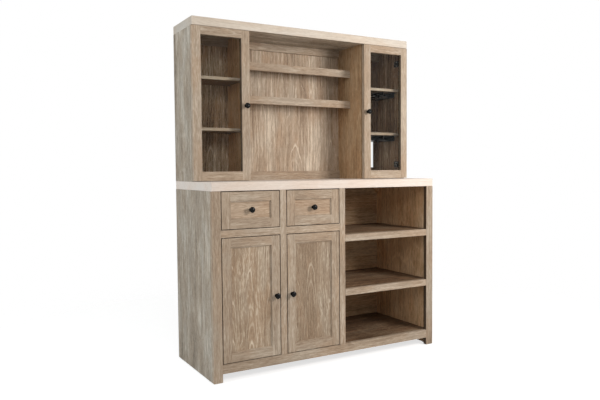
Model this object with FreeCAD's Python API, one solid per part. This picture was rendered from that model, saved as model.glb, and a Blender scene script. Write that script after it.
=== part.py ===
import FreeCAD, Part
import math
import os

# Bar cabinet with hutch. All lengths are millimetres, +Z is up, the front looks towards -Y.
# The origin is on the floor, under the middle of the whole outline, knobs included.

# Overall sizes
total_width = 1286.0
base_depth = 488.0
hutch_depth = 268.0
counter_height = 914.0
total_height = 1694.0
slab_thickness = 41.0
slab_edge_radius = 2.0

# Base case boards and face frame
side_thickness = 19.0
board_thickness = 18.0
partition_thickness = 19.0
base_back_thickness = 6.0
frame_thickness = 22.0
leg_stile_width = 44.0
inner_stile_width = 34.0
middle_rail_height = 34.0
bottom_rail_height = 43.0
toe_height = 42.0
front_opening_width = 300.0
drawer_opening_height = 176.0
glide_radius = 8.0
glide_height = 3.0
glide_inset = 40.0
gusset_width = 60.0
gusset_height = 50.0

# Inset drawer fronts and doors: frame members with a stepped, grooved inner edge and a panel
front_gap = 3.5
front_member = 43.0
lip_width = 5.0
lip_recess = 4.5
lip_thickness = 2.5
panel_thickness = 6.0
panel_clearance = 0.5
groove_clearance = 0.2

# Pivot pins of the inset doors, placed by the gap so that the edge clears the stile
pivot_inset = 3.0 * front_gap
pivot_setback = 1.5 * front_gap
pivot_radius = 2.0
pivot_in_door = 16.0
pivot_in_rail = 10.0
running_clearance = 0.05

# Knobs
knob_radius = 14.0
knob_length = 27.5
knob_foot_radius = 8.0
knob_foot_height = 2.0
knob_neck_radius = 6.2
knob_neck_height = 7.5
knob_rim_height = 20.0
knob_face_radius = 12.6
knob_face_height = 23.9

# Drawer boxes on wooden runners
box_clearance = 4.0
box_length = 430.0
box_side = 14.0
box_end = 12.0
box_bottom = 6.0
box_bottom_rise = 8.0
box_bottom_tongue = 4.0
box_lift = 10.0
box_headroom = 22.0
groove_depth = 6.0
runner_height = 16.0
runner_length = 400.0
slide_clearance = 0.4

# Shelves
bay_nosing_height = 34.0
bay_upper_share = 0.703
bay_lower_share = 0.354
nosing_clearance = 0.8
cupboard_shelf_depth = 330.0
cupboard_shelf_share = 0.5
shelf_clearance = 1.0
shelf_pin_radius = 2.5
shelf_pin_in = 9.0
shelf_pin_out = 8.0
shelf_pin_inset = 30.0
shelf_hole_pitch = 96.0
bay_dado_depth = 5.0

# Hutch case
hutch_side_thickness = 18.0
divider_thickness = 16.0
hutch_board_thickness = 16.0
hutch_back_thickness = 6.0
hutch_back_inset = 9.0
hutch_back_tongue = 5.0
back_rail_thickness = 12.0
top_back_rail_height = 40.0
bottom_back_rail_height = 46.0
bottle_shelf_depth = 123.0
bottle_nosing_height = 40.0
bottle_nosing_thickness = 20.0
bottle_upper_share = 0.8268
bottle_lower_share = 0.594
tower_shelf_thickness = 15.0
tower_shelf_setback = 51.0
tower_upper_share = 0.6928
tower_lower_share = 0.3545
cutout_width = 206.0
cutout_height = 165.0
cutout_rise = 65.0

# Glass racks hung under the right tower's shelves: rails that hold a wine glass by its foot
rack_rows = 3
rack_slot = 31.0
rack_drop = 31.5
rack_flange = 3.0
rack_stem = 5.0
rack_wall_gap = 10.0
rack_setback = 19.0
rack_back_gap = 14.0
rack_lead = 8.0

# Glass doors
glass_door_width = 297.0
glass_door_thickness = 22.0
glass_stile_width = 43.0
glass_top_rail = 39.0
glass_bottom_rail = 44.5
divider_overlay = 10.0
glass_door_foot_gap = 2.5
glass_door_head_gap = 1.5
glass_thickness = 4.0
glass_setback = 8.0
glass_groove_depth = 8.0
glass_clearance = 0.4

# Cup hinges of the glass doors
cup_radius = 13.0
cup_wall = 0.8
cup_floor = 1.0
cup_edge = 3.2
wing_width = 12.0
wing_reach = 24.0
wing_thickness = 1.0
hinge_pin_radius = 1.25
hinge_pin_depth = 11.0
eye_radius = 2.6
arm_half_height = 4.0
arm_thickness = 2.6
hinge_clearance = 0.4
swing_clearance = 0.6
bar_clearance = 1.5
hinge_plate_start = 20.0
hinge_plate_length = 42.0
hinge_plate_half_height = 16.0
hinge_end_distance = 78.5

# Door stop blocks
stop_width = 22.0
stop_depth = 16.0
stop_drop = 36.0
stop_inset = 30.0

# Heights
slab_bottom = counter_height - slab_thickness
frame_sill = toe_height + bottom_rail_height
deck_top = slab_bottom - drawer_opening_height
middle_rail_bottom = deck_top - middle_rail_height
hutch_top = total_height - slab_thickness
bay_height = slab_bottom - frame_sill
hutch_height = hutch_top - counter_height

# Widths, from left to right
left = -total_width / 2
right = total_width / 2
open_a0 = left + leg_stile_width
open_a1 = open_a0 + front_opening_width
open_b0 = open_a1 + inner_stile_width
open_b1 = open_b0 + front_opening_width
bay_x0 = open_b1 + inner_stile_width
bay_x1 = right - leg_stile_width
inner_left = left + side_thickness
inner_right = right - side_thickness
partition_face = open_b1 + partition_thickness
divider_mid = (open_a1 + open_b0) / 2
hutch_inner_left = left + hutch_side_thickness
hutch_inner_right = right - hutch_side_thickness
divider_x0 = left + glass_door_width - divider_overlay
divider_x1 = divider_x0 + divider_thickness

# Depths, from front to back
back = (base_depth + knob_length) / 2
front = back - base_depth
frame_back = front + frame_thickness
back_inner = back - base_back_thickness
hutch_front = back - hutch_depth
door_back = hutch_front + glass_door_thickness
hutch_back_inner = back - hutch_back_inset - hutch_back_thickness

# The hinge pin sits inside the cup, as near the door's edge as its eye allows.
cup_sagitta = cup_radius - math.sqrt(cup_radius ** 2 - arm_half_height ** 2)
hinge_pin_inset = cup_edge + cup_wall + cup_sagitta + hinge_clearance + eye_radius
cup_hollow = hinge_pin_depth + eye_radius + hinge_clearance
cup_depth = cup_hollow + cup_floor
hinge_swing = math.hypot(hinge_pin_inset, hinge_pin_depth)
door_gap = hinge_swing - hinge_pin_depth + swing_clearance
hutch_case_front = door_back + door_gap
hinge_pin_y = door_back - hinge_pin_depth
bar_offset = hinge_pin_inset + hinge_pin_depth + wing_thickness + bar_clearance


def box(x0, x1, y0, y1, z0, z1):
    return Part.makeBox(x1 - x0, y1 - y0, z1 - z0, FreeCAD.Vector(x0, y0, z0))


def rod(radius, x, y, z, direction, length):
    return Part.makeCylinder(radius, length, FreeCAD.Vector(x, y, z), direction)


ALONG_X = FreeCAD.Vector(1, 0, 0)
ALONG_Y = FreeCAD.Vector(0, 1, 0)
ALONG_Z = FreeCAD.Vector(0, 0, 1)


def mirrored(shape):
    return shape.mirror(FreeCAD.Vector(0, 0, 0), ALONG_X)


def write(name, solids):
    Part.makeCompound(solids).exportStep("parts/" + name + ".step")


def slab(x0, x1, y0, y1, z0, z1):
    board = box(x0, x1, y0, y1, z0, z1)
    return board.makeFillet(slab_edge_radius, board.Edges)


# Shelf pins: every pin is a plain rod, half in a bored panel and half under a shelf.
def pin_spots(shelf_front, shelf_back, shelf_bottom):
    spots = []
    for y in (shelf_front + shelf_pin_inset, shelf_back - shelf_pin_inset):
        spots.append((y, shelf_bottom - shelf_pin_radius))
    return spots


def pin_in_left_panel(face_x, spot):
    length = shelf_pin_in + shelf_pin_out
    return rod(shelf_pin_radius, face_x - shelf_pin_in, spot[0], spot[1], ALONG_X, length)


def pin_in_right_panel(face_x, spot):
    length = shelf_pin_in + shelf_pin_out
    return rod(shelf_pin_radius, face_x - shelf_pin_out, spot[0], spot[1], ALONG_X, length)


def cupboard_shelf_bottom():
    span = middle_rail_bottom - frame_sill
    return frame_sill + cupboard_shelf_share * span - board_thickness


def cupboard_pin_spots():
    return pin_spots(back_inner - cupboard_shelf_depth, back_inner, cupboard_shelf_bottom())


def tower_shelf_tops():
    return [counter_height + share * hutch_height for share in (tower_upper_share, tower_lower_share)]


def tower_shelf_front():
    return hutch_front + tower_shelf_setback


def tower_pin_spots():
    spots = []
    for top in tower_shelf_tops():
        spots.extend(pin_spots(tower_shelf_front(), hutch_back_inner, top - tower_shelf_thickness))
    return spots


def tower_hole_spots():
    spots = []
    for y, z in tower_pin_spots():
        spots.extend([(y, z - shelf_hole_pitch), (y, z), (y, z + shelf_hole_pitch)])
    return spots


def cupboard_pins():
    pins = []
    for spot in cupboard_pin_spots():
        pins.append(pin_in_left_panel(inner_left, spot))
        pins.append(pin_in_right_panel(open_b1, spot))
    return pins


def left_tower_pins(spots):
    pins = []
    for spot in spots:
        pins.append(pin_in_left_panel(hutch_inner_left, spot))
        pins.append(pin_in_right_panel(divider_x0, spot))
    return pins


def bored(panel, pins):
    for pin in pins:
        panel = panel.cut(pin)
    return panel


# Base case
def base_side_left():
    panel = box(left, inner_left, frame_back, back, glide_height, slab_bottom)
    return bored(panel, cupboard_pins())


def base_side_right():
    panel = box(inner_right, right, frame_back, back, glide_height, slab_bottom)
    return with_bay_dados(panel, inner_right, inner_right + bay_dado_depth)


def base_leg_stile(x0, x1):
    return box(x0, x1, front, frame_back, glide_height, slab_bottom)


def base_inner_stiles():
    stiles = []
    for x0 in (open_a1, open_b1):
        stiles.append(box(x0, x0 + inner_stile_width, front, frame_back, frame_sill, slab_bottom))
    return stiles


def pivot_bore(x, z, length):
    return rod(pivot_radius + running_clearance, x, front + pivot_setback, z, ALONG_Z, length)


def pivot_xs():
    inset = front_gap + pivot_inset
    return (open_a0 + inset, open_b1 - inset)


def base_bottom_rail():
    rail = box(open_a0, bay_x1, front, frame_back, toe_height, frame_sill)
    for x in pivot_xs():
        rail = rail.cut(pivot_bore(x, frame_sill - pivot_in_rail, pivot_in_rail))
    return rail


def base_middle_rails():
    rails = []
    for x0, x1, pivot_x in ((open_a0, open_a1, pivot_xs()[0]), (open_b0, open_b1, pivot_xs()[1])):
        rail = box(x0, x1, front, frame_back, middle_rail_bottom, deck_top)
        rails.append(rail.cut(pivot_bore(pivot_x, middle_rail_bottom, pivot_in_rail)))
    return rails


def base_bottom_board():
    return box(inner_left, inner_right, frame_back, back_inner, frame_sill - board_thickness, frame_sill)


def base_back_panel():
    return box(inner_left, inner_right, back_inner, back, frame_sill - board_thickness, slab_bottom)


def base_partition():
    panel = box(open_b1, partition_face, frame_back, back_inner, frame_sill, slab_bottom)
    panel = with_bay_dados(panel, partition_face - bay_dado_depth, partition_face)
    return bored(panel, cupboard_pins())


def drawer_deck():
    return box(inner_left, open_b1, frame_back, back_inner, deck_top - board_thickness, deck_top)


def drawer_divider():
    half = board_thickness / 2
    return box(divider_mid - half, divider_mid + half, frame_back, back_inner, deck_top, slab_bottom)


def counter_top():
    return slab(left, right, front, back, slab_bottom, counter_height)


def cupboard_shelf():
    bottom = cupboard_shelf_bottom()
    x0 = inner_left + shelf_clearance
    x1 = open_b1 - shelf_clearance
    return box(x0, x1, back_inner - cupboard_shelf_depth, back_inner, bottom, bottom + board_thickness)


def bay_shelf_tops():
    return [frame_sill + share * bay_height for share in (bay_upper_share, bay_lower_share)]


def with_bay_dados(panel, x0, x1):
    for top in bay_shelf_tops():
        panel = panel.cut(box(x0, x1, frame_back, back_inner, top - board_thickness, top))
    return panel


def bay_shelf(top):
    tongue = bay_dado_depth - groove_clearance
    x0 = partition_face - tongue
    x1 = inner_right + tongue
    board = box(x0, x1, frame_back, back_inner, top - board_thickness, top)
    nosing_x0 = bay_x0 + nosing_clearance
    nosing_x1 = bay_x1 - nosing_clearance
    nosing = box(nosing_x0, nosing_x1, front, frame_back, top - bay_nosing_height, top)
    return [board, nosing]


def gusset(corner_x, side):
    points = [FreeCAD.Vector(corner_x, back_inner, slab_bottom),
              FreeCAD.Vector(corner_x + side * gusset_width, back_inner, slab_bottom),
              FreeCAD.Vector(corner_x, back_inner, slab_bottom - gusset_height)]
    face = Part.Face(Part.makePolygon(points + points[:1]))
    return face.extrude(FreeCAD.Vector(0, -board_thickness, 0))


def corner_gussets():
    return [gusset(inner_right, -1), gusset(partition_face, 1)]


def floor_glides():
    glides = []
    for x in (left + side_thickness / 2, right - side_thickness / 2):
        for y in (front + frame_thickness + glide_inset, back - glide_inset):
            glides.append(rod(glide_radius, x, y, 0, ALONG_Z, glide_height))
    return glides


# Drawers
def box_bottom_z():
    return deck_top + box_lift


def box_top_z():
    return slab_bottom - box_headroom


def runner_mid_z():
    return (box_bottom_z() + box_top_z()) / 2


def runner(x0, x1):
    half = runner_height / 2
    return box(x0, x1, frame_back, frame_back + runner_length, runner_mid_z() - half, runner_mid_z() + half)


def drawer_runners():
    reach = box_clearance + groove_depth - slide_clearance
    half = board_thickness / 2
    return [runner(inner_left, open_a0 + reach),
            runner(open_a1 - reach, divider_mid - half),
            runner(divider_mid + half, open_b0 + reach),
            runner(open_b1 - reach, open_b1)]


def groove(x0, x1):
    half = runner_height / 2 + slide_clearance
    return box(x0, x1, frame_back, frame_back + box_length, runner_mid_z() - half, runner_mid_z() + half)


def drawer_box(opening_x0, opening_x1):
    x0 = opening_x0 + box_clearance
    x1 = opening_x1 - box_clearance
    y0 = frame_back
    y1 = frame_back + box_length
    z0 = box_bottom_z()
    z1 = box_top_z()
    in_x0 = x0 + box_side
    in_x1 = x1 - box_side
    floor_z = z0 + box_bottom_rise
    slot_top = floor_z + box_bottom + groove_clearance
    reach = box_bottom_tongue
    slot = box(in_x0 - reach, in_x1 + reach, y0 + box_end - reach, y1 - box_end + reach, floor_z, slot_top)
    side_a = box(x0, in_x0, y0, y1, z0, z1).cut(groove(x0, x0 + groove_depth)).cut(slot)
    side_b = box(in_x1, x1, y0, y1, z0, z1).cut(groove(x1 - groove_depth, x1)).cut(slot)
    end_a = box(in_x0, in_x1, y0, y0 + box_end, z0, z1).cut(slot)
    end_b = box(in_x0, in_x1, y1 - box_end, y1, z0, z1).cut(slot)
    tongue = reach - groove_clearance
    floor_x0 = in_x0 - tongue
    floor_x1 = in_x1 + tongue
    floor_y0 = y0 + box_end - tongue
    floor_y1 = y1 - box_end + tongue
    floor = box(floor_x0, floor_x1, floor_y0, floor_y1, floor_z, floor_z + box_bottom)
    return [side_a, side_b, end_a, end_b, floor]


# Inset fronts: the inner edge of every member has a step in front and a groove for the panel.
# The rails are coped over the stiles' step and their tenons sit in the stiles' groove.
def panel_front():
    return front + lip_recess + lip_thickness


def stepped_and_grooved(member, x0, x1, z0, z1):
    step = box(x0, x1, front, front + lip_recess, z0, z1)
    slot = box(x0, x1, panel_front(), panel_front() + panel_thickness + groove_clearance, z0, z1)
    return member.cut(step).cut(slot)


def front_stile(x0, edge_x0, z0, z1):
    stile = box(x0, x0 + front_member + lip_width, front, frame_back, z0, z1)
    return stepped_and_grooved(stile, edge_x0, edge_x0 + lip_width, z0, z1)


def front_rail(x0, x1, z0, plain_z0, edge_z0):
    reach = front_member + lip_width
    rail = box(x0 + reach, x1 - reach, front, frame_back, z0, z0 + reach)
    rail = stepped_and_grooved(rail, x0 + reach, x1 - reach, edge_z0, edge_z0 + lip_width)
    plain_z1 = plain_z0 + front_member
    cope = box(x0 + front_member, x1 - front_member, front, front + lip_recess, plain_z0, plain_z1)
    shoulder = front_member + panel_clearance
    tenon_y1 = panel_front() + panel_thickness
    tenon = box(x0 + shoulder, x1 - shoulder, panel_front(), tenon_y1, plain_z0, plain_z1)
    return rail.fuse([cope, tenon]).removeSplitter()


def framed_front(x0, x1, z0, z1):
    reach = front_member + lip_width
    return [front_stile(x0, x0 + front_member, z0, z1),
            front_stile(x1 - reach, x1 - reach, z0, z1),
            front_rail(x0, x1, z0, z0, z0 + front_member),
            front_rail(x0, x1, z1 - reach, z1 - front_member, z1 - reach)]


def recessed_panel(x0, x1, z0, z1):
    edge = front_member + panel_clearance
    y0 = panel_front()
    return box(x0 + edge, x1 - edge, y0, y0 + panel_thickness, z0 + edge, z1 - edge)


def knob(x, seat_y, z):
    def at(radius, height):
        return FreeCAD.Vector(x + radius, seat_y - height, z)

    rise = knob_length - knob_face_height
    dome_radius = (knob_face_radius ** 2 + rise ** 2) / (2 * rise)
    half_angle = math.asin(knob_face_radius / dome_radius) / 2
    dome_drop = dome_radius * (1 - math.cos(half_angle))
    dome_mid = at(dome_radius * math.sin(half_angle), knob_length - dome_drop)
    seat = at(0, 0)
    face = at(knob_face_radius, knob_face_height)
    tip = at(0, knob_length)
    profile = [seat, at(knob_foot_radius, 0), at(knob_foot_radius, knob_foot_height),
               at(knob_neck_radius, knob_foot_height), at(knob_neck_radius, knob_neck_height),
               at(knob_radius, knob_rim_height), face]
    edges = [Part.makeLine(p, q) for p, q in zip(profile, profile[1:])]
    edges.append(Part.Arc(face, dome_mid, tip).toShape())
    edges.append(Part.makeLine(tip, seat))
    return Part.Face(Part.Wire(edges)).revolve(seat, ALONG_Y, 360)


def drawer_front_size(opening_x0, opening_x1):
    return (opening_x0 + front_gap, opening_x1 - front_gap, deck_top + front_gap, slab_bottom - front_gap)


def door_size(opening_x0, opening_x1):
    return (opening_x0 + front_gap, opening_x1 - front_gap, frame_sill + front_gap, middle_rail_bottom - front_gap)


def write_drawer(name, opening_x0, opening_x1):
    x0, x1, z0, z1 = drawer_front_size(opening_x0, opening_x1)
    write(name + "_front_frame", framed_front(x0, x1, z0, z1))
    write(name + "_front_panel", [recessed_panel(x0, x1, z0, z1)])
    write(name + "_box", drawer_box(opening_x0, opening_x1))
    write(name + "_knob", [knob((x0 + x1) / 2, panel_front(), (z0 + z1) / 2)])


def pivot_pins(x, z0, z1):
    length = pivot_in_door + front_gap + pivot_in_rail
    y = front + pivot_setback
    lower = rod(pivot_radius, x, y, z0 + pivot_in_door - length, ALONG_Z, length)
    upper = rod(pivot_radius, x, y, z1 - pivot_in_door, ALONG_Z, length)
    return [lower, upper]


def write_door(name, opening_x0, opening_x1, pivot_x, knob_x):
    x0, x1, z0, z1 = door_size(opening_x0, opening_x1)
    pins = pivot_pins(pivot_x, z0, z1)
    write(name + "_frame", [bored(member, pins) for member in framed_front(x0, x1, z0, z1)])
    write(name + "_panel", [recessed_panel(x0, x1, z0, z1)])
    write(name + "_pivot_pins", pins)
    write(name + "_knob", [knob(knob_x, front, (z0 + z1) / 2)])


# Hutch case
def back_slot(x0, x1):
    y1 = hutch_back_inner + hutch_back_thickness + groove_clearance
    return box(x0, x1, hutch_back_inner, y1, counter_height, hutch_top)


def hutch_side_left():
    panel = box(left, hutch_inner_left, hutch_case_front, back, counter_height, hutch_top)
    panel = panel.cut(back_slot(hutch_inner_left - hutch_back_tongue, hutch_inner_left))
    return bored(panel, left_tower_pins(tower_hole_spots()))


def hutch_divider_left():
    panel = box(divider_x0, divider_x1, hutch_case_front, back, counter_height, hutch_top)
    panel = panel.cut(back_slot(divider_x0, divider_x0 + hutch_back_tongue))
    panel = panel.cut(back_slot(divider_x1 - hutch_back_tongue, divider_x1))
    return bored(panel, left_tower_pins(tower_hole_spots()))


def cornice():
    return slab(left, right, hutch_front, back, hutch_top, total_height)


def tower_floor():
    top = counter_height + hutch_board_thickness
    return box(hutch_inner_left, divider_x0, hutch_case_front, hutch_back_inner, counter_height, top)


def hutch_back(x0, x1):
    tongue = hutch_back_tongue - groove_clearance
    y1 = hutch_back_inner + hutch_back_thickness
    return box(x0 - tongue, x1 + tongue, hutch_back_inner, y1, counter_height, hutch_top)


def hutch_back_cutout_panel():
    panel = hutch_back(-divider_x0, hutch_inner_right)
    mid = (hutch_inner_right - divider_x0) / 2
    x0 = mid - cutout_width / 2
    z0 = counter_height + cutout_rise
    hole = box(x0, x0 + cutout_width, hutch_back_inner, back, z0, z0 + cutout_height)
    return panel.cut(hole)


def top_back_rail(x0, x1):
    y0 = hutch_back_inner - back_rail_thickness
    return box(x0, x1, y0, hutch_back_inner, hutch_top - top_back_rail_height, hutch_top)


def hutch_bottom_rail():
    y0 = hutch_back_inner - back_rail_thickness
    top = counter_height + bottom_back_rail_height
    return box(divider_x1, -divider_x1, y0, hutch_back_inner, counter_height, top)


def bottle_shelf(share):
    top = counter_height + share * hutch_height
    y0 = hutch_back_inner - bottle_shelf_depth
    y1 = y0 + bottle_nosing_thickness
    nosing = box(divider_x1, -divider_x1, y0, y1, top - bottle_nosing_height, top)
    board = box(divider_x1, -divider_x1, y1, hutch_back_inner, top - hutch_board_thickness, top)
    return [nosing, board]


def tower_shelves():
    x0 = hutch_inner_left + shelf_clearance
    x1 = divider_x0 - shelf_clearance
    shelves = []
    for top in tower_shelf_tops():
        shelves.append(box(x0, x1, tower_shelf_front(), hutch_back_inner, top - tower_shelf_thickness, top))
    return shelves


# Glass racks, drawn for the left tower and mirrored for the right one
def rack_rail(flange_x0, flange_x1, stem_x0, top):
    y0 = tower_shelf_front() + rack_setback
    y1 = hutch_back_inner - rack_back_gap
    foot = top - rack_drop
    plan = [(flange_x0, y0 + rack_lead), (flange_x0 + rack_lead, y0), (flange_x1 - rack_lead, y0),
            (flange_x1, y0 + rack_lead), (flange_x1, y1), (flange_x0, y1), (flange_x0, y0 + rack_lead)]
    outline = Part.makePolygon([FreeCAD.Vector(x, y, foot) for x, y in plan])
    flange = Part.Face(outline).extrude(FreeCAD.Vector(0, 0, rack_flange))
    stem = box(stem_x0, stem_x0 + rack_stem, y0 + rack_lead, y1, foot, top)
    return flange.fuse(stem).removeSplitter()


def glass_rack(top):
    """Rails in the shape of an upturned T between the rows, and of an L beside the walls."""
    pitch = (divider_x0 - hutch_inner_left) / rack_rows
    reach = (pitch - rack_slot) / 2
    wall_x0 = hutch_inner_left + rack_wall_gap
    wall_x1 = divider_x0 - rack_wall_gap
    rails = [rack_rail(wall_x0, hutch_inner_left + reach, wall_x0, top)]
    for row in range(1, rack_rows):
        middle = hutch_inner_left + row * pitch
        rails.append(rack_rail(middle - reach, middle + reach, middle - rack_stem / 2, top))
    rails.append(rack_rail(divider_x0 - reach, wall_x1, wall_x1 - rack_stem, top))
    return rails


# Glass doors, drawn for the left tower and mirrored for the right one
def glass_door_z():
    return (counter_height + glass_door_foot_gap, hutch_top - glass_door_head_gap)


def hinge_zs():
    z0, z1 = glass_door_z()
    return (z0 + hinge_end_distance, z1 - hinge_end_distance)


def glass_slot_y():
    y0 = hutch_front + glass_setback - glass_clearance
    return (y0, hutch_front + glass_setback + glass_thickness + glass_clearance)


def glass_stile(x0, slot_x0):
    z0, z1 = glass_door_z()
    y0, y1 = glass_slot_y()
    stile = box(x0, x0 + glass_stile_width, hutch_front, door_back, z0, z1)
    return stile.cut(box(slot_x0, slot_x0 + glass_groove_depth, y0, y1, z0, z1))


def glass_rail(z0, height, slot_z0):
    y0, y1 = glass_slot_y()
    x0 = left + glass_stile_width
    x1 = left + glass_door_width - glass_stile_width
    rail = box(x0, x1, hutch_front, door_back, z0, z0 + height)
    rail = rail.cut(box(x0, x1, y0, y1, slot_z0, slot_z0 + glass_groove_depth))
    reach = glass_groove_depth - glass_clearance
    plain_z0 = z0 if slot_z0 > z0 else z0 + glass_groove_depth
    plain_z1 = plain_z0 + height - glass_groove_depth
    return rail.fuse(box(x0 - reach, x1 + reach, y0, y1, plain_z0, plain_z1)).removeSplitter()


def cup_center_x():
    return left + cup_edge + cup_wall + cup_radius


def cup_bore(z):
    return rod(cup_radius + cup_wall, cup_center_x(), door_back - cup_depth, z, ALONG_Y, cup_depth)


def glass_door_frame():
    z0, z1 = glass_door_z()
    stile_x0 = left + glass_door_width - glass_stile_width
    hinge_stile = glass_stile(left, left + glass_stile_width - glass_groove_depth)
    for z in hinge_zs():
        hinge_stile = hinge_stile.cut(cup_bore(z))
    top_z0 = z1 - glass_top_rail
    bottom_slot = z0 + glass_bottom_rail - glass_groove_depth
    return [hinge_stile, glass_stile(stile_x0, stile_x0),
            glass_rail(z0, glass_bottom_rail, bottom_slot), glass_rail(top_z0, glass_top_rail, top_z0)]


def glass_pane():
    z0, z1 = glass_door_z()
    edge_x = glass_stile_width - glass_groove_depth + glass_clearance
    pane_z0 = z0 + glass_bottom_rail - glass_groove_depth
    pane_z1 = z1 - glass_top_rail + glass_groove_depth - glass_clearance
    y0 = hutch_front + glass_setback
    x1 = left + glass_door_width - edge_x
    return box(left + edge_x, x1, y0, y0 + glass_thickness, pane_z0, pane_z1)


def hinge_pin_x():
    return left + hinge_pin_inset


def hinge_cup(z):
    x = cup_center_x()
    hollow = rod(cup_radius, x, door_back - cup_hollow, z, ALONG_Y, cup_hollow + wing_thickness)
    half = wing_width / 2
    wings = box(x - half, x + half, door_back, door_back + wing_thickness, z - wing_reach, z + wing_reach)
    shell = cup_bore(z).fuse(wings).cut(hollow)
    reach = math.sqrt((cup_radius + cup_wall / 2) ** 2 - (x - hinge_pin_x()) ** 2)
    pin = rod(hinge_pin_radius, hinge_pin_x(), hinge_pin_y, z - reach, ALONG_Z, 2 * reach)
    return shell.fuse(pin)


def hinge_arm(z):
    z0 = z - arm_half_height
    z1 = z + arm_half_height
    half = arm_thickness / 2
    bar_x0 = left + bar_offset
    bar_x1 = bar_x0 + arm_thickness
    plate_y0 = hutch_case_front + hinge_plate_start
    plate_y1 = plate_y0 + hinge_plate_length
    plate_z0 = z - hinge_plate_half_height
    plate_z1 = z + hinge_plate_half_height
    eye = rod(eye_radius, hinge_pin_x(), hinge_pin_y, z0, ALONG_Z, 2 * arm_half_height)
    neck = box(hinge_pin_x(), bar_x1, hinge_pin_y - half, hinge_pin_y + half, z0, z1)
    bar = box(bar_x0, bar_x1, hinge_pin_y - half, plate_y1, z0, z1)
    plate = box(hutch_inner_left, bar_x1, plate_y0, plate_y1, plate_z0, plate_z1)
    bore = rod(hinge_pin_radius + running_clearance, hinge_pin_x(), hinge_pin_y, z0, ALONG_Z, 2 * arm_half_height)
    return eye.fuse([neck, bar, plate]).removeSplitter().cut(bore)


def write_glass_door(name, place):
    x1 = left + glass_door_width
    z0, z1 = glass_door_z()
    write(name + "_frame", [place(member) for member in glass_door_frame()])
    write(name + "_pane", [place(glass_pane())])
    write(name + "_hinge_cups", [place(hinge_cup(z)) for z in hinge_zs()])
    write(name + "_knob", [place(knob(x1 - glass_stile_width / 2, hutch_front, (z0 + z1) / 2))])


def as_drawn(shape):
    return shape


# Stop blocks that the closed doors rest against
def door_stops():
    top = deck_top - board_thickness
    stops = []
    for x0 in (open_a1 - stop_inset - stop_width, open_b0 + stop_inset):
        stops.append(box(x0, x0 + stop_width, frame_back, frame_back + stop_depth, top - stop_drop, top))
    x0 = divider_x0 - stop_width
    upper = box(x0, divider_x0, door_back, door_back + door_gap + stop_depth, hutch_top - stop_drop, hutch_top)
    stops.append(upper)
    stops.append(mirrored(upper))
    return stops


os.makedirs("parts", exist_ok=True)

write("base_side_left", [base_side_left()])
write("base_side_right", [base_side_right()])
write("base_leg_stile_left", [base_leg_stile(left, open_a0)])
write("base_leg_stile_right", [base_leg_stile(bay_x1, right)])
write("base_inner_stiles", base_inner_stiles())
write("base_bottom_rail", [base_bottom_rail()])
write("base_middle_rails", base_middle_rails())
write("base_bottom_board", [base_bottom_board()])
write("base_back_panel", [base_back_panel()])
write("base_partition", [base_partition()])
write("drawer_deck", [drawer_deck()])
write("drawer_divider", [drawer_divider()])
write("drawer_runners", drawer_runners())
write("cupboard_shelf", [cupboard_shelf()])
write("bay_shelf_upper", bay_shelf(bay_shelf_tops()[0]))
write("bay_shelf_lower", bay_shelf(bay_shelf_tops()[1]))
write("counter_top", [counter_top()])
write("corner_gussets", corner_gussets())
write("floor_glides", floor_glides())
write("door_stops", door_stops())

tower_pins = left_tower_pins(tower_pin_spots())
write("shelf_pins", cupboard_pins() + tower_pins + [mirrored(pin) for pin in tower_pins])

write("hutch_side_left", [hutch_side_left()])
write("hutch_side_right", [mirrored(hutch_side_left())])
write("hutch_divider_left", [hutch_divider_left()])
write("hutch_divider_right", [mirrored(hutch_divider_left())])
write("cornice", [cornice()])
write("tower_floors", [tower_floor(), mirrored(tower_floor())])
write("hutch_back_panels", [hutch_back(hutch_inner_left, divider_x0), hutch_back(divider_x1, -divider_x1)])
write("hutch_back_cutout_panel", [hutch_back_cutout_panel()])
left_rail = top_back_rail(hutch_inner_left, divider_x0)
write("hutch_top_rails", [left_rail, top_back_rail(divider_x1, -divider_x1), mirrored(left_rail)])
write("hutch_bottom_rail", [hutch_bottom_rail()])
write("bottle_shelf_upper", bottle_shelf(bottle_upper_share))
write("bottle_shelf_lower", bottle_shelf(bottle_lower_share))
write("tower_shelves", tower_shelves() + [mirrored(shelf) for shelf in tower_shelves()])
rails = []
for top in tower_shelf_tops():
    rails.extend(mirrored(rail) for rail in glass_rack(top - tower_shelf_thickness))
write("glass_racks", rails)
arms = [hinge_arm(z) for z in hinge_zs()]
write("hutch_hinge_arms", arms + [mirrored(arm) for arm in arms])

write_drawer("left_drawer", open_a0, open_a1)
write_drawer("right_drawer", open_b0, open_b1)
stile_mid = front_gap + front_member / 2
write_door("left_door", open_a0, open_a1, pivot_xs()[0], open_a1 - stile_mid)
write_door("right_door", open_b0, open_b1, pivot_xs()[1], open_b0 + stile_mid)
write_glass_door("left_glass_door", as_drawn)
write_glass_door("right_glass_door", mirrored)
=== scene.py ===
import math

import bmesh
import bpy
from mathutils import Matrix, Vector


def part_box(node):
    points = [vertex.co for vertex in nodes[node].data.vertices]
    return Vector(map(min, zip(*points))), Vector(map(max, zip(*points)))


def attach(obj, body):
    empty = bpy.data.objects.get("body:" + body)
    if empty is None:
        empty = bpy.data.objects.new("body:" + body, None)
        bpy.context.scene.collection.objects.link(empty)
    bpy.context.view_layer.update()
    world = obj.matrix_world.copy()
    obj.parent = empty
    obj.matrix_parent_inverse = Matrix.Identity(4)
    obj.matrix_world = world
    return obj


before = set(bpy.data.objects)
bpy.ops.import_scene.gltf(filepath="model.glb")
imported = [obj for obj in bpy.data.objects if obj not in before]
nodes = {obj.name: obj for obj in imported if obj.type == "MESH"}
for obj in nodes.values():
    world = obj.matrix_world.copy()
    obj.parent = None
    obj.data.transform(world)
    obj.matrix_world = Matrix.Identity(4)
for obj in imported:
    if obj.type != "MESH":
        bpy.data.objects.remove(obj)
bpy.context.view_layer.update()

MM = 0.001


# Small helpers

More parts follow.
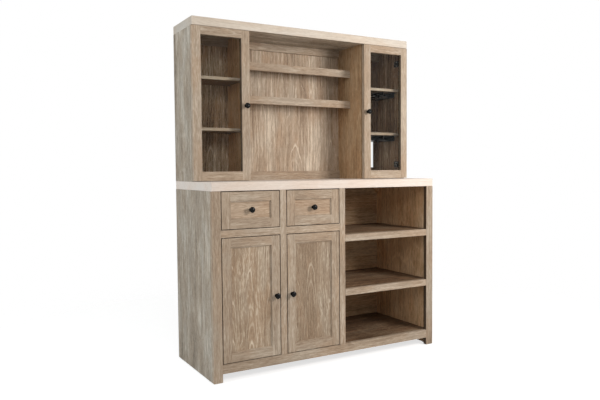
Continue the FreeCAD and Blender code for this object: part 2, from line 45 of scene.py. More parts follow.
class Tree:
    """The node tree of a material or of the world, with short calls for the nodes used here."""

    def __init__(self, owner, output="ShaderNodeOutputMaterial"):
        owner.use_nodes = True
        self.owner = owner
        self.nodes = owner.node_tree.nodes
        self.links = owner.node_tree.links
        self.nodes.clear()
        self.out = self.nodes.new(output)

    def put(self, socket, value):
        """Link a socket to another one, or set its number or colour."""
        if isinstance(value, bpy.types.NodeSocket):
            self.links.new(value, socket)
        else:
            socket.default_value = value

    def node(self, kind, *values, **settings):
        """A node with these settings, its first sockets filled in order."""
        made = self.nodes.new(kind)
        for key, value in settings.items():
            setattr(made, key, value)
        for socket, value in zip(made.inputs, values):
            self.put(socket, value)
        return made

    def place(self):
        """The point on the surface in metres, in axes that move with the piece."""
        return self.node("ShaderNodeTexCoord").outputs["Object"]

    def math(self, operation, *values):
        return self.node("ShaderNodeMath", *values, operation=operation).outputs[0]

    def vector(self, operation, *values):
        made = self.node("ShaderNodeVectorMath", *values, operation=operation)
        return made.outputs["Value" if operation in ("LENGTH", "DOT_PRODUCT") else "Vector"]

    def split(self, vector):
        return self.node("ShaderNodeSeparateXYZ", vector).outputs

    def join(self, *values):
        return self.node("ShaderNodeCombineXYZ", *values).outputs[0]

    def noise(self, place, fineness, detail=2.0, rough=0.5):
        """Cloudy noise from 0 to 1. fineness is its waves per metre along the three axes."""
        made = self.node("ShaderNodeTexNoise")
        self.put(made.inputs["Vector"], self.vector("MULTIPLY", place, fineness))
        self.put(made.inputs["Scale"], 1.0)
        self.put(made.inputs["Detail"], detail)
        self.put(made.inputs["Roughness"], rough)
        return made.outputs["Fac"]

    def swing(self, *noise):
        """Noise about 0."""
        return self.math("SUBTRACT", self.noise(*noise), 0.5)

    def chance(self, number):
        """A random share from 0 to 1, the same between two whole numbers."""
        made = self.node("ShaderNodeTexWhiteNoise", noise_dimensions="1D")
        self.put(made.inputs["W"], self.math("FLOOR", number))
        return made.outputs["Value"]

    def band(self, value, low, high, to_low=0.0, to_high=1.0):
        """A soft step between two values."""
        made = self.node("ShaderNodeMapRange", value, low, high, to_low, to_high,
                         interpolation_type="SMOOTHSTEP")
        return made.outputs[0]

    def mix(self, factor, a, b):
        """Two colours, mixed."""
        made = self.node("ShaderNodeMix", data_type="RGBA")
        self.put(made.inputs["Factor"], factor)
        for key, colour in (("A", a), ("B", b)):
            plain = not isinstance(colour, bpy.types.NodeSocket)
            self.put(made.inputs[key], (*colour, 1.0) if plain else colour)
        return made.outputs["Result"]

    def bump(self, height, strength, distance):
        made = self.node("ShaderNodeBump")
        self.put(made.inputs["Strength"], strength)
        self.put(made.inputs["Distance"], distance)
        self.put(made.inputs["Height"], height)
        return made.outputs["Normal"]

    def edge(self, radius):
        """1 along edges, 0 on flat faces."""
        bevel = self.node("ShaderNodeBevel", radius, samples=4)
        plain = self.node("ShaderNodeNewGeometry").outputs["Normal"]
        flat, turned = 0.995, 0.86
        return self.band(self.vector("DOT_PRODUCT", bevel.outputs["Normal"], plain), flat, turned)

    def seen(self):
        """1 for a ray that shows a surface straight, by a mirror or through glass, 0 for one that lights."""
        path = self.node("ShaderNodeLightPath").outputs
        straight = self.math("MAXIMUM", path["Is Camera Ray"], path["Is Transmission Ray"])
        return self.math("MAXIMUM", straight, path["Is Glossy Ray"])

    def shader(self, kind, inputs):
        made = self.node(kind)
        for key, value in inputs.items():
            self.put(made.inputs[key], value)
        return made.outputs[0]

    def blend(self, factor, first, second):
        """Two shaders, mixed."""
        return self.node("ShaderNodeMixShader", factor, first, second).outputs[0]

    def show(self, shader):
        self.links.new(shader, self.out.inputs["Surface"])
        return self.owner

    def principled(self, inputs):
        return self.show(self.shader("ShaderNodeBsdfPrincipled", inputs))


def material_tree(name):
    return Tree(bpy.data.materials.new(name))


def srgb(r, g, b):
    """A colour written as 8-bit numbers, in linear light."""
    return tuple((c / 255 / 12.92) if c <= 10 else ((c / 255 + 0.055) / 1.055) ** 2.4 for c in (r, g, b))


# Wood

HUES = ("ground", "deep", "lime", "warm", "grey")


def palette(*hues, arch, contrast, streak=(125.0, 6.0), fleck=0.7):
    """A wood's colours in the order of HUES, how strongly its arches and its streaks show, how fine the
    streaks are across and along the grain, and how strongly flecks break them."""
    colours = {key: srgb(*hue) for key, hue in zip(HUES, hues)}
    return dict(colours, arch=arch, contrast=contrast, streak=streak, fleck=fleck)


def toned(colours, share):
    """The same wood, lighter or darker."""
    return {key: tuple(share * c for c in value) if key in HUES else value
            for key, value in colours.items()}


# Frame members are quiet, panels carry the arches, and the pieces inside are darker.
WEATHERED = palette((168, 149, 129), (139, 119, 99), (196, 181, 162), (170, 145, 121), (162, 148, 132),
                    arch=0.45, contrast=0.85)
PANEL = palette((160, 138, 115), (129, 107, 85), (212, 196, 174), (166, 139, 113), (157, 141, 123),
                arch=1.0, contrast=0.70)
WARM = palette((171, 146, 122), (144, 117, 93), (198, 177, 154), (177, 146, 119), (167, 148, 128),
               arch=0.55, contrast=0.85)
BACKS = palette((177, 157, 136), (128, 106, 85), (224, 210, 191), (179, 151, 125), (168, 153, 136),
                arch=0.75, contrast=0.9, streak=(140.0, 4.5), fleck=0.3)
SIDES = palette((161, 147, 130), (98, 85, 70), (216, 206, 191), (160, 143, 123), (154, 145, 132),
                arch=0.2, contrast=0.9, streak=(165.0, 4.0), fleck=0.35)
PALE = palette((224, 210, 198), (209, 193, 179), (235, 224, 214), (223, 204, 189), (219, 209, 200),
               arch=0.25, contrast=0.6)
CROWN = palette((208, 196, 181), (188, 174, 158), (222, 212, 199), (208, 191, 173), (200, 192, 181),
                arch=0.25, contrast=0.7)
BAY = palette((174, 143, 109), (138, 108, 78), (199, 172, 139), (176, 138, 101), (165, 141, 114),
              arch=0.60, contrast=0.9)
REAR = palette((158, 138, 116), (132, 112, 91), (180, 162, 141), (160, 135, 110), (152, 137, 119),
               arch=0.15, contrast=0.6)
TOWER = palette((183, 156, 127), (108, 83, 60), (250, 234, 212), (187, 150, 115), (168, 148, 124),
                arch=0.5, contrast=1.0, streak=(150.0, 3.5), fleck=0.4)
# A darker copy of the tower oak: painted shade on the right tower's back, lightened a little on its inner
# side.
SHADED_TOWER = palette((122, 97, 74), (68, 50, 35), (188, 166, 139), (126, 94, 68), (116, 99, 81),
                arch=0.4, contrast=1.0, streak=(150.0, 4.0), fleck=0.4)
INSIDE = palette((122, 97, 74), (94, 72, 53), (146, 123, 99), (126, 94, 68), (114, 96, 78),
                 arch=0.30, contrast=0.7)
SHELF = palette((119, 94, 71), (74, 53, 37), (164, 140, 114), (126, 92, 65), (112, 94, 76),
                arch=0.3, contrast=1.0, streak=(95.0, 3.0))

WOODS = {
    # Painted shade darkens the right leg and the right door's panel; painted light lightens the middle
    # rails.
    "weathered": WEATHERED, "leg_right": toned(WEATHERED, 0.85), "rail": toned(WEATHERED, 1.13),
    "panel": PANEL, "panel_right": toned(PANEL, 0.88), "warm": WARM, "back": BACKS,
    # Painted shade: the cornice's underside takes a greyer, darker wood, and its left end a darker copy of
    # its own.
    "sides": SIDES, "crown_under": toned(SIDES, 1.20), "pale": PALE,
    "crown": CROWN, "crown_end": toned(CROWN, 0.84),
    # Painted light: the bay's back, the inner walls and the gussets take lighter copies of the bay oak.
    "bay": BAY, "bay_back": toned(BAY, 1.10), "bay_side": toned(BAY, 1.70), "tower_side": toned(BAY, 1.45),
    # Painted shade on the right tower's back and inner side.
    "rear": REAR, "tower": TOWER, "cabin": SHADED_TOWER, "cabin_side": toned(SHADED_TOWER, 1.55),
    "inside": INSIDE, "shade": toned(INSIDE, 0.40), "shelf": SHELF, "floor": toned(SHELF, 0.85),
}

# Each seed starts the grain at another place, so that boards differ.
SEEDS = 6
SEED_STEP = (0.731, 0.417, 1.137)
SEED_SPAN = (1.9, 1.3, 3.1)

# Waves per metre of the grain's layers: twice across the board, then along it
SWAY = (6.0, 6.0, 1.6)
BOARD = (17.0, 17.0, 0.6)
FINE = (430.0, 430.0, 24.0)
PORES = (900.0, 900.0, 60.0)
FLECKS = (240.0, 240.0, 34.0)
CLOUD = (9.0, 9.0, 3.5)
PATCH = (13.0, 13.0, 4.0)
UNEVEN = (60.0, 60.0, 9.0)
BREAKS = (60.0, 60.0, 10.0)
ARCH_PLACES = (9.0, 9.0, 3.0)
PATCH_SHIFT = (5.0, 9.0, 2.0)

# How far the grain and the arches wander sideways, in metres
GRAIN_SWAY = 0.05
ARCH_SWAY = 0.10
ARCH_UNEVEN = 0.010

# How much each layer adds to the tone, and the tones between which dark and limed grain come up
BOARD_SHARE = 0.35
FINE_SHARE = 0.55
CLOUD_SHARE = 0.5
DARK_TONES = (0.95, 0.74)
LIMED_TONES = (0.98, 1.20)
PORE_SHARE = 0.30
WEAR_AND_HIGHLIGHT_RADIUS = 2.0 * MM

# Arches of the growth rings: the width of a column of them, how steeply their legs fall, the distance
# between rings, and how far at most neighbouring columns are shifted along the board
ARCH_WIDTH = 0.105
ARCH_STEEPNESS = 240.0
ARCH_SPACING = 0.085
ARCH_SHIFT = 0.6


def wood(name, grain, seed, colours):
    """Brushed, limed oak. Long streaks of three widths set the tone, thin broken arches of limed
    grain lie over them, and slow clouds shift the hue. grain is the axis along the board."""
    t = material_tree(name)
    x, y, z = t.split(t.place())
    turned = t.join(*{"Z": (x, y, z), "X": (z, y, x), "Y": (x, z, y)}[grain])
    p = t.vector("ADD", turned, tuple(step * seed % span for step, span in zip(SEED_STEP, SEED_SPAN)))

    # The grain wanders a little from side to side.
    sway = t.swing(p, SWAY)
    q = t.vector("ADD", p, t.join(t.math("MULTIPLY", sway, GRAIN_SWAY)))

    width, length = colours["streak"]
    streak = t.noise(q, (width, width, length), 4.0, 0.66)
    fine = t.noise(q, FINE, 2.0, 0.6)
    pore = t.band(t.noise(q, PORES, 1.0), 0.56, 0.68)
    cloud = t.noise(p, CLOUD, 3.0)
    patch = t.noise(t.vector("ADD", p, PATCH_SHIFT), PATCH)
    tone = t.math("ADD", t.math("MULTIPLY", t.noise(q, BOARD), BOARD_SHARE), streak)
    tone = t.math("ADD", tone, t.math("MULTIPLY", fine, FINE_SHARE))
    tone = t.math("ADD", tone, t.math("MULTIPLY", t.swing(q, FLECKS, 2.0, 0.6), colours["fleck"]))
    tone = t.math("ADD", tone, t.math("MULTIPLY", t.math("SUBTRACT", cloud, 0.5), CLOUD_SHARE))

    # Flat-sawn growth rings: pointed arches one above the other, whose legs close up into fine lines.
    # Only some rings show, only in some places, and they are broken along their length.
    aside, _, along = t.split(q)
    across = t.math("SUBTRACT", t.math("PINGPONG", aside, ARCH_WIDTH), ARCH_WIDTH / 2)
    across = t.math("ADD", across, t.math("MULTIPLY", sway, ARCH_SWAY))
    across = t.math("ADD", across, t.math("MULTIPLY", t.swing(q, UNEVEN), ARCH_UNEVEN))
    ring = t.math("MULTIPLY", t.math("MULTIPLY", across, across), ARCH_STEEPNESS)
    column = t.chance(t.math("DIVIDE", aside, ARCH_WIDTH))
    rise = t.math("ADD", along, t.math("MULTIPLY", column, ARCH_SHIFT))
    count = t.math("DIVIDE", t.math("ADD", ring, rise), ARCH_SPACING)
    turn = t.math("FRACT", count)
    line = t.math("MULTIPLY", t.band(turn, 0.02, 0.10), t.band(turn, 0.36, 0.16))
    line = t.math("MULTIPLY", line, t.band(t.chance(count), 0.44, 0.74))
    broken = t.band(t.noise(q, BREAKS), 0.28, 0.46)
    where = t.band(t.noise(p, ARCH_PLACES, 1.0), 0.35, 0.52)
    arch = t.math("MULTIPLY", t.math("MULTIPLY", line, broken), t.math("MULTIPLY", where, colours["arch"]))

    dark = t.math("MULTIPLY", t.band(tone, *DARK_TONES), colours["contrast"])
    limed = t.math("MULTIPLY", t.band(tone, *LIMED_TONES), colours["contrast"])
    # Edges turn toward the limed colour in cloudy patches: partly rubbed lime, partly a painted highlight
    # along the arrises.
    lime_wear_and_highlight = t.math("MULTIPLY", t.edge(WEAR_AND_HIGHLIGHT_RADIUS), t.band(cloud, 0.40, 0.60, 0.05, 0.35))
    colour = t.mix(t.band(patch, 0.46, 0.62, 0.0, 0.65), colours["ground"], colours["warm"])
    colour = t.mix(t.band(cloud, 0.48, 0.64, 0.0, 0.65), colour, colours["grey"])
    colour = t.mix(dark, colour, colours["deep"])
    for share in (limed, arch, t.math("MULTIPLY", pore, PORE_SHARE), lime_wear_and_highlight):
        colour = t.mix(share, colour, colours["lime"])

    height = t.math("ADD", t.math("MULTIPLY", fine, 0.7), t.math("MULTIPLY", pore, -0.5))
    height = t.math("ADD", height, t.math("MULTIPLY", arch, -0.25))
    return t.principled({"Base Color": colour, "Roughness": t.band(streak, 0.38, 0.62, 0.58, 0.76),
                         "Normal": t.bump(height, 0.35, 0.6 * MM), "Specular IOR Level": 0.25})


made_woods = {}


def wood_of(kind, grain, seed):
    key = "%s_oak_%s_%d" % (kind, grain.lower(), seed)
    if key not in made_woods:
        made_woods[key] = wood(key, grain, seed, WOODS[kind])
    return made_woods[key]


# Metal, nylon and glass

# Waves per metre of the marks on them
PAINT_CLOUD = (90.0, 90.0, 90.0)
PAINT_SPECKS = (900.0, 900.0, 900.0)
BRUSH_MARKS = (900.0, 60.0, 60.0)
STEEL_CLOUD = (40.0, 40.0, 40.0)
NYLON_GRAIN = (1200.0, 1200.0, 1200.0)
GLASS_SMEARS = (14.0, 14.0, 5.0)
MARK_DEPTH = 0.2 * MM

GLASS_TINT = (0.96, 0.97, 0.965, 1.0)
GLASS_SHEEN = (0.95, 0.97, 0.97, 1.0)
GLASS_IOR = 1.45
SHEEN_SHARE = 0.12


def painted(name, dark, light):
    t = material_tree(name)
    speck = t.noise(t.place(), PAINT_SPECKS)
    colour = t.mix(t.band(t.noise(t.place(), PAINT_CLOUD, 3.0), 0.40, 0.62), dark, light)
    return t.principled({"Base Color": colour, "Roughness": t.band(speck, 0.3, 0.7, 0.16, 0.28),
                         "Normal": t.bump(speck, 0.06, MARK_DEPTH), "Specular IOR Level": 0.12})


def steel(name, dark, light):
    t = material_tree(name)
    brushed = t.noise(t.place(), BRUSH_MARKS)
    rough = t.band(t.noise(t.place(), STEEL_CLOUD), 0.3, 0.7, 0.24, 0.40)
    return t.principled({"Base Color": t.mix(t.band(brushed, 0.40, 0.60), dark, light), "Metallic": 1.0,
                         "Roughness": rough, "Normal": t.bump(brushed, 0.08, MARK_DEPTH)})


def nylon(name, dark, light):
    t = material_tree(name)
    grain = t.noise(t.place(), NYLON_GRAIN)
    return t.principled({"Base Color": t.mix(grain, dark, light),
                         "Roughness": t.band(grain, 0.3, 0.7, 0.5, 0.7),
                         "Normal": t.bump(grain, 0.2, MARK_DEPTH)})


def glass(name):
    """Clear float glass: light passes straight through, with a mirror sheen and faint smears."""
    t = material_tree(name)
    smear = t.noise(t.place(), GLASS_SMEARS, 4.0)
    clear = t.shader("ShaderNodeBsdfTransparent", {"Color": GLASS_TINT})
    gloss = t.shader("ShaderNodeBsdfGlossy", {"Color": GLASS_SHEEN,
                                              "Roughness": t.band(smear, 0.3, 0.8, 0.01, 0.09)})
    fresnel = t.node("ShaderNodeFresnel", GLASS_IOR).outputs[0]
    return t.show(t.blend(t.math("MULTIPLY", fresnel, SHEEN_SHARE), clear, gloss))


BLACK = painted("black_satin_metal", srgb(5, 5, 5), srgb(13, 12, 12))
BRONZE = painted("dark_bronze_paint", srgb(24, 21, 18), srgb(38, 33, 28))
STEEL = steel("bright_steel", srgb(112, 110, 106), srgb(168, 166, 161))
# The hinges' nickel is darkened as a painted reflection of the dark cabinet inside.
NICKEL_PAINTED_DARK = steel("nickel_painted_dark_reflection", srgb(30, 28, 25), srgb(58, 54, 49))
NYLON = nylon("dark_nylon", srgb(34, 32, 30), srgb(58, 55, 52))
GLASS = glass("clear_glass")


# Dress the solids

ARRIS = 0.8 * MM
ARRIS_STEPS = 2
ARRIS_ANGLE = math.radians(50)
SAME_POINT = 0.01 * MM

# A face looks along an axis from this share of its normal on, and lies on an edge within this slack.
SQUARE_ON = 0.9
SLACK = 0.5 * MM
RIGHT, LEFT, BACK, DOWN = (0, 1), (0, -1), (1, 1), (2, -1)


def soften(obj):
    """Boards get a small round on their arrises. The import splits faces, so they are joined first."""
    obj.modifiers.new("join", "WELD").merge_threshold = SAME_POINT
    bevel = obj.modifiers.new("arris", "BEVEL")
    bevel.width = ARRIS
    bevel.segments = ARRIS_STEPS
    bevel.limit_method = "ANGLE"
    bevel.angle_limit = ARRIS_ANGLE
    bevel.use_clamp_overlap = True
    bevel.harden_normals = True


def dress(name, kind, grain, seed, rule=None):
    """A node's boards take a wood. rule gives another kind, grain and seed to some faces: it is called
    with the face's lowest and highest corner, its normal and the corners of the node's box."""
    obj = nodes[name]
    mesh = obj.data
    mesh.materials.clear()
    slots = {}
    low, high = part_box(name)
    for face in mesh.polygons:
        points = [mesh.vertices[v].co for v in face.vertices]
        near = [min(point[k] for point in points) for k in range(3)]
        far = [max(point[k] for point in points) for k in range(3)]
        other = rule(near, far, face.normal, low, high) if rule else None
        face_kind, face_grain, face_seed = other or (kind, grain, seed)
        material = wood_of(face_kind, face_grain, 1 + face_seed % SEEDS)
        if material.name not in slots:
            slots[material.name] = len(mesh.materials)
            mesh.materials.append(material)
        face.material_index = slots[material.name]
    soften(obj)


def upright_ends(kind, width, seed, grain="Z"):
    """Faces that lie within width of the node's left or right end belong to its stiles or sides."""
    def rule(near, far, normal, low, high):
        if far[0] < low[0] + width:
            return kind, grain, seed
        if near[0] > high[0] - width:
            return kind, grain, seed + 1
        return None
    return rule


def facing(way, *wood_choice):
    """Faces that look one way along an axis."""
    axis, sign = way

    def rule(near, far, normal, low, high):
        return wood_choice if normal[axis] * sign > SQUARE_ON else None
    return rule


def inner_edges(*wood_choice):
    """Faces of a frame that look to the left, but for its own left edge."""
    def rule(near, far, normal, low, high):
        return wood_choice if normal[0] < -SQUARE_ON and near[0] > low[0] + SLACK else None
    return rule


def fronts(x, left_kind, right_kind, grain, seed):
    """Front faces: one kind on the boards that end left of x, the other on the rest."""
    def rule(near, far, normal, low, high):
        if normal[1] > -SQUARE_ON:
            return None
        return (left_kind if far[0] < x else right_kind), grain, seed
    return rule


def either(first, second):
    """The first rule that has something to say about a face."""
    def rule(*face):
        return first(*face) or second(*face)
    return rule


def behind(y, *wood_choice):
    """Faces that lie wholly behind a depth."""
    def rule(near, far, normal, low, high):
        return wood_choice if near[1] > y else None
    return rule


def dark_edges(rule=None):
    """The outer edges of a front are painted in shade, so that the gaps round it show as dark lines. Its
    other faces follow the rule."""
    def outer(near, far, normal, low, high):
        for k in (0, 2):
            if abs(normal[k]) > SQUARE_ON and min(abs(near[k] - low[k]), abs(far[k] - high[k])) < SLACK:
                return "shade", "Z", 2
        return rule(near, far, normal, low, high) if rule else None
    return outer


def coat(name, material):
    nodes[name].data.materials.clear()
    nodes[name].data.materials.append(material)


# Widths that tell upright members from the others, a little over the members' own
FRONT_MEMBER = 48.5 * MM
GLASS_STILE = 43.5 * MM
BOX_SIDE = 14.5 * MM

frame_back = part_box("base_leg_stile_left")[1][1] - SLACK
left_tower_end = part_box("hutch_divider_left")[1][0]

dress("base_side_left", "sides", "Z", 1, facing(RIGHT, "inside", "Z", 1))
dress("base_side_right", "sides", "Z", 3, facing(LEFT, "bay_side", "Z", 3))
dress("base_leg_stile_left", "weathered", "Z", 2, facing(RIGHT, "shade", "Z", 2))
dress("base_leg_stile_right", "leg_right", "Z", 4, facing(LEFT, "shade", "Z", 2))
dress("base_inner_stiles", "weathered", "Z", 0, facing(LEFT, "shade", "Z", 2))
dress("base_bottom_rail", "weathered", "X", 3)
dress("base_middle_rails", "rail", "X", 1, dark_edges())
dress("base_bottom_board", "floor", "X", 2)
dress("base_back_panel", "bay_back", "X", 4, facing(BACK, "rear", "X", 4))
dress("base_partition", "bay", "Z", 1)
dress("drawer_deck", "inside", "X", 3)
dress("drawer_divider", "inside", "Y", 2)
dress("drawer_runners", "inside", "Y", 0)
dress("cupboard_shelf", "inside", "X", 0)
dress("bay_shelf_upper", "weathered", "X", 2, behind(frame_back, "shelf", "X", 2))
dress("bay_shelf_lower", "weathered", "X", 0, behind(frame_back, "shelf", "X", 5))
dress("counter_top", "pale", "X", 1, facing(DOWN, "inside", "X", 1))
dress("corner_gussets", "bay_side", "X", 1)
dress("door_stops", "inside", "Z", 1)
dress("hutch_side_left", "sides", "Z", 2, facing(RIGHT, "bay", "Z", 2))
dress("hutch_side_right", "sides", "Z", 0, facing(LEFT, "cabin_side", "Z", 4))
dress("hutch_divider_left", "weathered", "Z", 3, facing(LEFT, "tower_side", "Z", 5))
dress("hutch_divider_right", "bay", "Z", 1)
# The cornice's underside and left end carry painted shade.
dress("cornice", "crown", "X", 3,
      either(facing(DOWN, "crown_under", "X", 4), facing(LEFT, "crown_end", "X", 3)))
dress("tower_floors", "panel", "X", 2)
dress("hutch_back_panels", "back", "Z", 0,
      either(fronts(left_tower_end, "tower", "back", "Z", 1), facing(BACK, "rear", "Z", 0)))
dress("hutch_back_cutout_panel", "cabin", "Z", 4, facing(BACK, "rear", "Z", 0))
dress("hutch_top_rails", "weathered", "X", 1)
dress("hutch_bottom_rail", "weathered", "X", 4)
dress("bottle_shelf_upper", "weathered", "X", 3)
dress("bottle_shelf_lower", "weathered", "X", 0)
# The shelves' undersides take the darker inside oak as painted shade.
dress("tower_shelves", "weathered", "X", 1, facing(DOWN, "inside", "X", 1))
for number, side in enumerate(("left", "right")):
    dress(side + "_drawer_front_frame", "weathered", "X", number,
          dark_edges(upright_ends("weathered", FRONT_MEMBER, 1 + number)))
    dress(side + "_drawer_front_panel", "warm", "X", 2 + number)
    dress(side + "_drawer_box", "inside", "X", number, upright_ends("inside", BOX_SIDE, 2, "Y"))
    dress(side + "_door_frame", "weathered", "X", 2 + number,
          dark_edges(upright_ends("weathered", FRONT_MEMBER, 3 + number)))
    dress(side + "_door_panel", ("panel", "panel_right")[number], "Z", 2 + 2 * number)
    dress(side + "_glass_door_frame", "weathered", "X", 1 + 2 * number,
          either(inner_edges("shade", "Z", 1), upright_ends("weathered", GLASS_STILE, 4 + number)))
    coat(side + "_glass_door_pane", GLASS)
    coat(side + "_glass_door_hinge_cups", NICKEL_PAINTED_DARK)
    coat(side + "_door_pivot_pins", STEEL)
    for fitting in ("_drawer_knob", "_door_knob", "_glass_door_knob"):
        coat(side + fitting, BLACK)
coat("hutch_hinge_arms", NICKEL_PAINTED_DARK)
coat("glass_racks", BRONZE)
coat("shelf_pins", STEEL)
coat("floor_glides", NYLON)


# Screws: pan heads with a cross recess, on the fittings that they hold

# Where the screws sit: from the end of a hinge cup's wings to its middle and from there to a screw, a
# hinge plate's length and its screws, and the thickness of a drawer box's front end
WING_REACH = 24.0 * MM
WING_SCREW = 19.0 * MM
PLATE_LENGTH = 42.0 * MM
PLATE_SCREW = 10.5 * MM
BOX_END = 12.0 * MM

# Radius and height of the heads
CUP_HEAD = (3.0 * MM, 1.2 * MM)
PLATE_HEAD = (3.4 * MM, 1.4 * MM)
KNOB_HEAD = (4.2 * MM, 1.8 * MM)

# Shares of a head's radius and height: the pan's rings, then the recess's reach, half width and rise
PAN = ((1.0, 0.0), (1.0, 0.35), (0.9, 0.72), (0.68, 1.0))
RECESS = ((0.56, 0.13, 1.0), (0.42, 0.09, 0.3))
POINTS = 24

AHEAD, LEFTWARDS, RIGHTWARDS = Vector((0, 1, 0)), Vector((-1, 0, 0)), Vector((1, 0, 0))


def head_rings(radius, height):
    """Rings of points from the foot of a pan head over its rim into the cross recess."""
    rings = []
    turns = [math.radians(360 / POINTS * k) for k in range(POINTS)]
    for share, rise in PAN:
        reach = radius * share
        rings.append([(reach * math.cos(a), reach * math.sin(a), height * rise) for a in turns])
    for reach, half, rise in RECESS:
        tip, side = radius * reach, radius * half
        centre = (tip + side) / 2
        arm = ((tip, 0.0), (tip, side), (centre, side), (side, side), (side, centre), (side, tip))
        ring = []
        for c, s in ((1, 0), (0, 1), (-1, 0), (0, -1)):
            ring += [(x * c - y * s, x * s + y * c, height * rise) for x, y in arm]
        rings.append(ring)
    return rings


def screws(name, body, places, outward, head):
    """Screw heads that stand on a face, as one piece that rides on a body."""
    mesh = bmesh.new()
    turn = outward.to_track_quat("Z", "Y").to_matrix()
    for place in places:
        rings = [[mesh.verts.new(Vector(place) + turn @ Vector(point)) for point in ring]
                 for ring in head_rings(*head)]
        for lower, upper in zip(rings, rings[1:]):
            for k in range(POINTS):
                after = (k + 1) % POINTS
                mesh.faces.new((lower[k], lower[after], upper[after], upper[k]))
        mesh.faces.new(reversed(rings[0]))
        mesh.faces.new(rings[-1])
    data = bpy.data.meshes.new(name)
    mesh.to_mesh(data)
    mesh.free()
    data.materials.append(STEEL)
    obj = bpy.data.objects.new(name, data)
    bpy.context.scene.collection.objects.link(obj)
    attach(obj, body)


def middle(name):
    low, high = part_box(name)
    return [(low[k] + high[k]) / 2 for k in range(3)]


plate_reach = min(abs(vertex.co.x) for vertex in nodes["hutch_hinge_arms"].data.vertices)
plate_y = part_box("hutch_hinge_arms")[1][1] - PLATE_LENGTH / 2
for side, sign, inward in (("left", -1, RIGHTWARDS), ("right", 1, LEFTWARDS)):
    cups_low, cups_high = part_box(side + "_glass_door_hinge_cups")
    hinges = (cups_low[2] + WING_REACH, cups_high[2] - WING_REACH)
    cup_x = middle(side + "_glass_door_hinge_cups")[0]
    spots = [(cup_x, cups_high[1], z + up) for z in hinges for up in (-WING_SCREW, WING_SCREW)]
    screws(side + "_hinge_cup_screws", side + "_glass_door", spots, AHEAD, CUP_HEAD)

    spots = [(sign * plate_reach, plate_y, z + up) for z in hinges for up in (-PLATE_SCREW, PLATE_SCREW)]
    screws(side + "_hinge_plate_screws", "cabinet", spots, inward, PLATE_HEAD)

    for front, seat in (("_door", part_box(side + "_door_frame")[1][1]),
                        ("_glass_door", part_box(side + "_glass_door_frame")[1][1]),
                        ("_drawer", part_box(side + "_drawer_box")[0][1] + BOX_END)):
        x, _, z = middle(side + front + "_knob")
        screws(side + front + "_knob_screw", side + front, [(x, seat, z)], AHEAD, KNOB_HEAD)


# Stage, light and camera

WHITE = (1.0, 1.0, 1.0, 1.0)
FLOOR_REACH = 6.0
FLOOR_COLOUR = (0.55, 0.55, 0.55, 1.0)
FLOOR_GLOW = 0.70
FLOOR_FADE = (1.0, 2.6)
SKY_COLOUR = (1.0, 0.985, 0.96, 1.0)
SKY_STRENGTH = 0.40

# The photograph's camera: angles, place and lens were solved from the cabinet's edges.
CAMERA_YAW = math.radians(29.599)
CAMERA_PITCH = math.radians(2.780)
CAMERA_ROLL = math.radians(0.447)
CAMERA_PLACE = (-1.66015, -2.81715, 0.9664)
SENSOR_WIDTH = 36.0
FOCAL_PIXELS = 620.26
PHOTO_WIDTH = 600.0
CAMERA_REACH = 50.0


def floor():
    """A pale floor that keeps the shadow and fades into the white round it."""
    mesh = bpy.data.meshes.new("floor")
    ends = (-FLOOR_REACH, FLOOR_REACH)
    mesh.from_pydata([(x, y, 0) for y in ends for x in ends], [], [(0, 1, 3, 2)])
    obj = bpy.data.objects.new("floor", mesh)
    bpy.context.scene.collection.objects.link(obj)
    t = material_tree("pale_floor")
    plain = t.shader("ShaderNodeBsdfDiffuse", {"Color": FLOOR_COLOUR})
    lifted = t.math("MULTIPLY", t.seen(), FLOOR_GLOW)
    glow = t.shader("ShaderNodeEmission", {"Color": WHITE, "Strength": lifted})
    both = t.node("ShaderNodeAddShader", plain, glow).outputs[0]
    away = t.band(t.vector("LENGTH", t.place()), *FLOOR_FADE)
    mesh.materials.append(t.show(t.blend(away, both, t.shader("ShaderNodeBsdfTransparent", {}))))


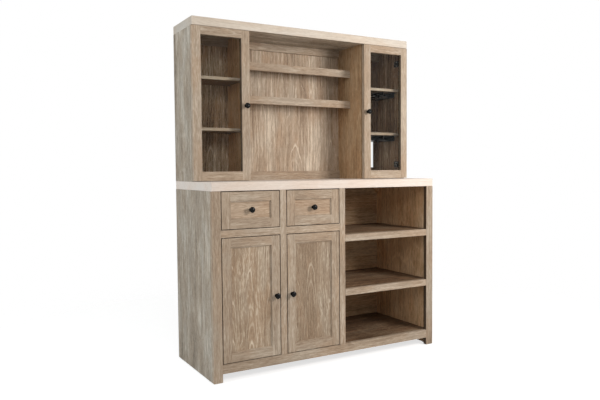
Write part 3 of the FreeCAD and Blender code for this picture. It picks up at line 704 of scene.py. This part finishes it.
def studio():
    """A soft sky that lights the object, and a white one where it is seen."""
    t = Tree(bpy.data.worlds.new("studio"), "ShaderNodeOutputWorld")
    soft = t.shader("ShaderNodeBackground", {"Color": SKY_COLOUR, "Strength": SKY_STRENGTH})
    white = t.shader("ShaderNodeBackground", {"Color": WHITE, "Strength": 1.0})
    bpy.context.scene.world = t.show(t.blend(t.seen(), soft, white))


def lamp(name, place, target, size, power, colour):
    """A square soft lamp that looks at a target."""
    data = bpy.data.lights.new(name, "AREA")
    data.shape = "SQUARE"
    data.size = size
    data.energy = power
    data.color = colour
    obj = bpy.data.objects.new(name, data)
    bpy.context.scene.collection.objects.link(obj)
    obj.location = place
    obj.rotation_euler = (Vector(target) - Vector(place)).to_track_quat("-Z", "Y").to_euler()


def camera():
    level = math.cos(CAMERA_PITCH)
    ahead = Vector((math.sin(CAMERA_YAW) * level, math.cos(CAMERA_YAW) * level, -math.sin(CAMERA_PITCH)))
    across = Vector((math.cos(CAMERA_YAW), -math.sin(CAMERA_YAW), 0.0))
    down = ahead.cross(across)
    right = math.cos(CAMERA_ROLL) * across + math.sin(CAMERA_ROLL) * down
    up = math.sin(CAMERA_ROLL) * across - math.cos(CAMERA_ROLL) * down
    data = bpy.data.cameras.new("camera")
    data.sensor_fit = "HORIZONTAL"
    data.sensor_width = SENSOR_WIDTH
    data.lens = SENSOR_WIDTH * FOCAL_PIXELS / PHOTO_WIDTH
    data.clip_end = CAMERA_REACH
    obj = bpy.data.objects.new("camera", data)
    bpy.context.scene.collection.objects.link(obj)
    axes = Matrix((right, up, -ahead)).transposed().to_4x4()
    obj.matrix_world = Matrix.Translation(CAMERA_PLACE) @ axes
    bpy.context.scene.camera = obj


floor()
studio()
lamp("key", place=(1.3, -2.0, 1.55), target=(0.0, 0.0, 1.0), size=0.75, power=42.0,
     colour=(1.0, 0.955, 0.91))
lamp("side_fill", place=(-4.2, -0.55, 2.3), target=(0.0, 0.0, 0.9), size=2.2, power=77.0,
     colour=(0.82, 0.925, 1.0))
lamp("front_fill", place=(-1.7, -3.1, 2.3), target=(0.1, 0.0, 0.8), size=1.0, power=16.0,
     colour=(1.0, 0.97, 0.94))
camera()
bpy.context.scene.view_settings.view_transform = "Standard"
